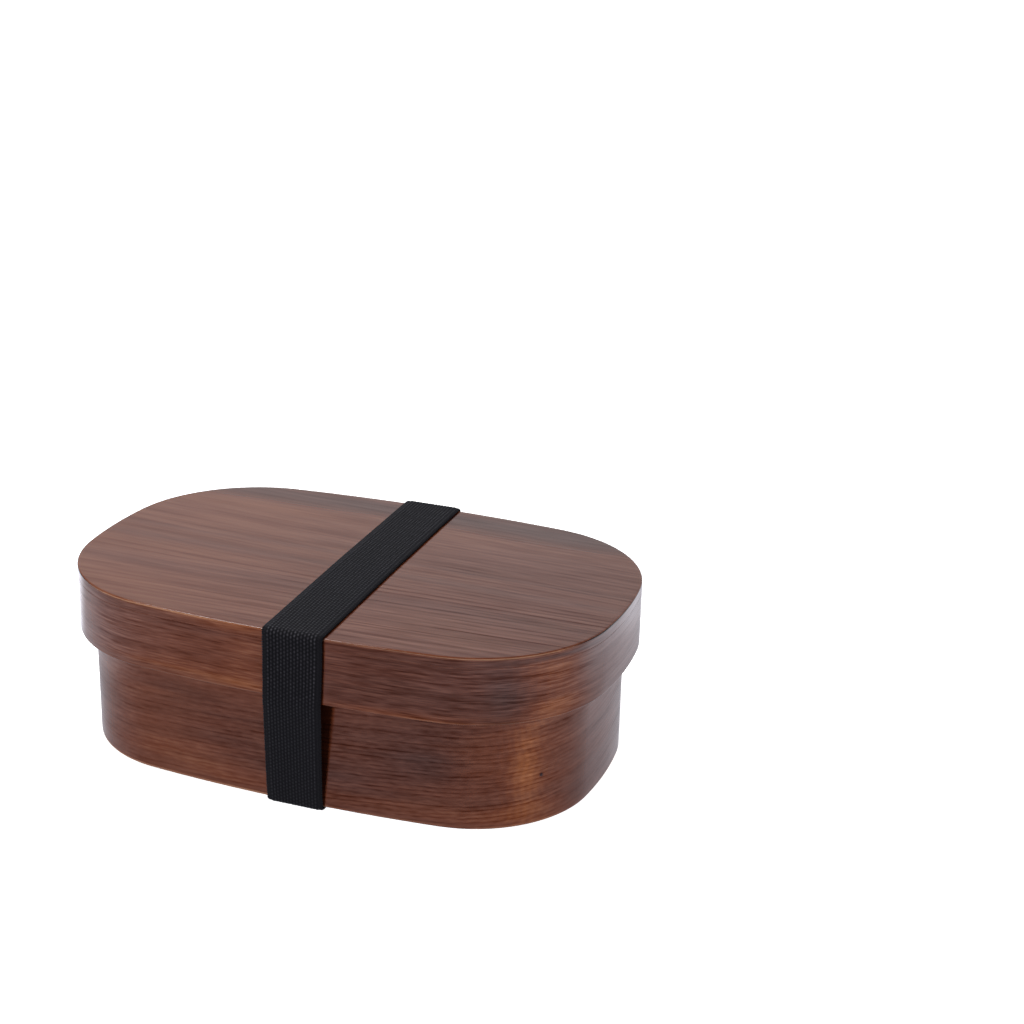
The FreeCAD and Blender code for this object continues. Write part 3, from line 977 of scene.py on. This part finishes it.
def knit(vs, closed, lift=0.0, trim=0.0, shift=0.0):
    """A length of the webbing: the outer face is raised in stitches, in columns that run half a stitch apart, between two
    borders with short ridges and toothed edges; the inner face is smooth."""
    vs = np.asarray(vs, float)
    y, z, ny, nz, mid, wide = on_route(vs)
    # section: place across, height, stitch relief, rib, border ridge, tooth
    sec = []
    for k in range(60):
        q = -FIELD + k * COLUMN / 4
        c = math.cos(math.pi * q / COLUMN)
        sec.append((q, 1.005, 0.035 * c, 0.09 * abs(c), 0.0, 0.0))
    sec.append((FIELD, 1.005, 0.0, 0.0, 0.0, 0.0))
    right = [
        (FIELD + 0.35, 0.90, 0.0, 0.0, 0.05, 0.0),
        (FIELD + 0.90, 0.92, 0.0, 0.0, 0.09, 0.0),
        (FIELD + 1.35, 0.78, 0.0, 0.0, 0.09, 0.20),
        (9.92, 0.52, 0.0, 0.0, 0.05, 0.34),
        (9.92, 0.32, 0.0, 0.0, 0.0, 0.30),
        (9.60, 0.15, 0.0, 0.0, 0.0, 0.16),
        (9.00, 0.06, 0.0, 0.0, 0.0, 0.0),
    ]
    sec += right
    sec += [(q, 0.04, 0.0, 0.0, 0.0, 0.0) for q in (6.0, 3.0, 0.0, -3.0, -6.0)]
    sec += [(-q, h, a, b, c, d) for q, h, a, b, c, d in reversed(right)]
    q, h0, relief, rib, ridge, tooth = (np.array(c) for c in zip(*sec))
    wave = np.cos(2 * math.pi * vs / CELL)[:, None]
    cut = 0.5 - 0.5 * np.cos(2 * math.pi * (vs[:, None] + 0.6 * np.abs(q)[None, :]) / TOOTH)
    across = (q[None, :] - np.sign(q)[None, :] * tooth * cut) * ((wide - 2 * trim) / 20.0)[:, None]
    h = lift + h0 + rib + relief * wave + ridge * (0.5 - cut)
    pts = np.stack([mid[:, None] + across, y[:, None] + ny[:, None] * h, z[:, None] + nz[:, None] * h], -1)
    sh = Shell()
    sh.v = [tuple(c) for c in pts.reshape(-1, 3).tolist()]
    m, k = len(sec), len(vs)
    us = (q + shift).tolist()
    ends = vs.tolist() + [vs[0] + LOOP]
    for i in range(k if closed else k - 1):
        a, b = i * m, ((i + 1) % k) * m
        v0, v1 = ends[i], ends[i + 1]
        for j in range(m):
            n = (j + 1) % m
            sh.face((a + j, b + j, b + n, a + n), ((us[j], v0), (us[j], v1), (us[n], v1), (us[n], v0)))
    if not closed:
        sh.face(range(m - 1, -1, -1), [(us[j], ends[0]) for j in range(m - 1, -1, -1)])
        sh.face(range((k - 1) * m, k * m), [(x, ends[k - 1]) for x in us])
    return sh


web = webbing("elastic_webbing", COLUMN, CELL, FIELD, TOOTH)

loop = knit(np.arange(STITCHES * 6) * CELL / 6, True)
# the lap: the free end of the webbing lies on the back, low down
lap_from, lap_to = where(57.2, 16.4), where(55.6, 4.6)
lap = knit(np.linspace(lap_from, lap_to, 61), False, lift=1.12, trim=0.15)

band = build("elastic_band", [loop, lap], "weave", [web], sharp=80.0)
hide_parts("elastic_band_lower", "elastic_band_upper")
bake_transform(band)


def stitches():
    """Two rows of thread through the lap, each stitch a short bowed loop that dips in at its ends."""
    shells = []
    for z in (6.95, 14.5):
        v = where(55.1 + 5.2 * (z - 1.2) / 37.65, z)
        y, zz, ny, nz, mid, wide = (float(x[0]) for x in on_route([v]))
        # direction along the band at this place
        dy, dz = nz, -ny
        for k in range(6):
            x0 = mid + (k - 2.5) * 3.1
            sh = Shell()
            n, m = 14, 8
            for i in range(n + 1):
                t = i / n
                x = x0 + (t - 0.5) * 2.4
                lift = 2.24 + 0.20 * math.sin(math.pi * t) ** 0.7 - 0.08
                r = 0.24 * (0.55 + 0.45 * math.sin(math.pi * t) ** 0.5)
                for j in range(m):
                    a = 2 * math.pi * j / m + 2.2 * t
                    rr = r * (1 + 0.10 * math.cos(3 * a))
                    h = lift + rr * math.sin(a)
                    q = rr * 1.1 * math.cos(a)
                    sh.v.append((x, y + ny * h + dy * q, zz + nz * h + dz * q))
            for i in range(n):
                for j in range(m):
                    j2 = (j + 1) % m
                    sh.face(
                        (i * m + j, (i + 1) * m + j, (i + 1) * m + j2, i * m + j2),
                        (
                            (i * 0.17, j * 0.2),
                            ((i + 1) * 0.17, j * 0.2),
                            ((i + 1) * 0.17, (j + 1) * 0.2),
                            (i * 0.17, (j + 1) * 0.2),
                        ),
                    )
            sh.face(range(m - 1, -1, -1), [(0.0, j * 0.2) for j in range(m - 1, -1, -1)])
            sh.face(range(n * m, n * m + m), [(n * 0.17, j * 0.2) for j in range(m)])
            shells.append(sh)
    return shells


sewing = build("band_sewing", stitches(), "weave", [thread("sewing_thread")], "band_lower", sharp=80.0)
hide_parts("band_stitches")


# ------------------------------------------------------------ floor and light
g = Graph("pale_floor")
tc = g.t.nodes.new("ShaderNodeTexCoord")
sep = g.t.nodes.new("ShaderNodeSeparateXYZ")
g.t.links.new(tc.outputs["Object"], sep.inputs[0])
grain = g.noise(sep.outputs[0], sep.outputs[1], 3.0, 3.0, 1.0, 2.0)
g.put(g.bsdf.inputs["Roughness"], g.remap(grain, -0.3, 0.3, 0.86, 0.94))
g.bsdf.inputs["Base Color"].default_value = (0.93, 0.93, 0.93, 1.0)
g.bsdf.inputs["Specular IOR Level"].default_value = 0.1
g.bsdf.inputs["Emission Color"].default_value = (1.0, 1.0, 1.0, 1.0)
g.bsdf.inputs["Emission Strength"].default_value = 0.97
me = bpy.data.meshes.new("floor")
sheet = [(-4, -4, 0), (4, -4, 0), (4, 4, 0), (-4, 4, 0), (-4, -4, 4), (4, -4, 4), (4, 4, 4), (-4, 4, 4)]
me.from_pydata(sheet, [], [(0, 1, 2, 3), (0, 4, 5, 1), (1, 5, 6, 2), (2, 6, 7, 3), (3, 7, 4, 0)])
me.materials.append(g.m)
floor = bpy.data.objects.new("floor", me)
scene.collection.objects.link(floor)
# the floor turns up into a backdrop far off, is lit well past white, and shows to the camera only
floor.visible_diffuse = False
floor.visible_glossy = False
floor.visible_transmission = False
floor.visible_shadow = False

# what the lacquer mirrors of the table: a card just under the floor, dimmer close to the box
g = Graph("table_card")
g.t.nodes.remove(g.bsdf)
tc = g.t.nodes.new("ShaderNodeTexCoord")
sep = g.t.nodes.new("ShaderNodeSeparateXYZ")
g.t.links.new(tc.outputs["Object"], sep.inputs[0])
x, y = sep.outputs[0], sep.outputs[1]
ax = g.math("MAXIMUM", g.sub(g.math("ABSOLUTE", x), 0.090), 0.0)
ay = g.math("MAXIMUM", g.sub(g.math("ABSOLUTE", y), 0.058), 0.0)
far = g.math("SQRT", g.madd(ax, ax, g.mul(ay, ay)))
away = g.remap(far, 0.060, 0.105, 0.0, 1.0)
ends = g.math("MAXIMUM", g.remap(x, 0.090, 0.138, 0.0, 1.0), g.remap(x, -0.096, -0.146, 0.0, 1.0))
front = g.madd(away, g.remap(x, 0.0, 0.05, 0.05, 0.25), 0.69)
rear = g.remap(y, -0.01, 0.06, 0.0, 1.0)
near = g.remap(far, 0.030, 0.060, 0.0, 1.0)
left = g.madd(near, g.madd(rear, 1.45, 0.42), g.remap(y, -0.04, 0.03, 0.80, 0.36))
right = g.madd(away, g.madd(rear, 0.60, 0.40), g.madd(rear, 0.32, 0.78))
side = g.add(g.mul(g.sub(right, left), g.remap(x, -0.05, 0.05, 0.0, 1.0)), left)
glow = g.t.nodes.new("ShaderNodeEmission")
glow.inputs["Color"].default_value = (0.98, 1.0, 1.10, 1.0)
g.put(glow.inputs["Strength"], g.add(g.mul(g.sub(side, front), ends), front))
g.t.links.new(glow.outputs[0], g.out.inputs["Surface"])
me = bpy.data.meshes.new("table_card")
me.from_pydata([(-2, -2, -0.002), (2, -2, -0.002), (2, 2, -0.002), (-2, 2, -0.002)], [], [(0, 1, 2, 3)])
me.materials.append(g.m)
card = bpy.data.objects.new("table_card", me)
scene.collection.objects.link(card)
card.visible_camera = False
card.visible_shadow = False
card.visible_diffuse = False

# the room: pale behind the box, dimmer to the sides, behind the camera and overhead, with a pale table all round
world = bpy.data.worlds.new("studio")
world.use_nodes = True
wt = world.node_tree
back = wt.nodes["Background"]
wc = wt.nodes.new("ShaderNodeTexCoord")
ws = wt.nodes.new("ShaderNodeSeparateXYZ")
wt.links.new(wc.outputs["Generated"], ws.inputs[0])


def level(axis, *values):
    n = wt.nodes.new("ShaderNodeMapRange")
    n.interpolation_type = "SMOOTHSTEP"
    wt.links.new(ws.outputs[axis], n.inputs[0])
    for socket, value in zip(list(n.inputs)[1:5], values):
        socket.default_value = value
    return n.outputs[0]


def combine(op, a, b):
    n = wt.nodes.new("ShaderNodeMath")
    n.operation = op
    wt.links.new(a, n.inputs[0])
    wt.links.new(b, n.inputs[1])
    return n.outputs[0]


above = combine("MULTIPLY", level(1, -0.9, 0.5, 0.20, 0.88), level(2, 0.38, 0.75, 1.0, 0.45))
above = combine("MULTIPLY", above, combine("MULTIPLY", level(0, -0.95, -0.62, 0.15, 1.0), level(0, 0.55, 0.85, 1.0, 0.15)))
below = level(1, -0.9, 0.8, 0.22, 0.30)
room = combine(
    "ADD",
    combine("MULTIPLY", above, level(2, -0.06, 0.06, 0.0, 1.0)),
    combine("MULTIPLY", below, level(2, -0.06, 0.06, 1.0, 0.0)),
)
wt.links.new(room, back.inputs["Strength"])
back.inputs["Color"].default_value = (1.0, 0.965, 0.985, 1.0)
scene.world = world


def softbox(name, place, aim, size, power, mirrored=True):
    data = bpy.data.lights.new(name, "AREA")
    data.shape = "RECTANGLE"
    data.size, data.size_y = size
    data.energy = power
    ob = bpy.data.objects.new(name, data)
    ob.location = place
    ob.rotation_euler = (Vector(aim) - Vector(place)).to_track_quat("-Z", "Y").to_euler()
    ob.visible_camera = False
    ob.visible_glossy = mirrored
    scene.collection.objects.link(ob)
    return ob


softbox("key", (-0.17, -0.95, 0.21), (0, 0, 0.03), (0.16, 0.42), 6.35, mirrored=False)
softbox("over", (-0.42, 0.02, 0.88), (0, 0, 0.03), (0.30, 0.30), 5.0)
softbox("fill", (0.92, 0.06, 0.08), (0.04, 0, 0.03), (0.40, 0.12), 4.6, mirrored=False)

# ---------------------------------------------------------------- the camera
cam_data = bpy.data.cameras.new("camera")
cam_data.sensor_width = 36.0
cam_data.lens = 67.8546
cam_data.clip_start, cam_data.clip_end = 0.01, 60.0
cam = bpy.data.objects.new("camera", cam_data)
right = Vector((0.9381291, 0.3453663, 0.0252169))
up = Vector((-0.1423254, 0.3181665, 0.9372906))
behind = Vector((0.3156854, -0.8828886, 0.3476356))
place = Vector((0.2457318, -0.5393348, 0.3001586))
cam.matrix_world = Matrix(
    (
        (right.x, up.x, behind.x, place.x),
        (right.y, up.y, behind.y, place.y),
        (right.z, up.z, behind.z, place.z),
        (0, 0, 0, 1),
    )
)
scene.collection.objects.link(cam)
scene.camera = cam
scene.view_settings.view_transform = "Standard"
scene.view_settings.look = "None"
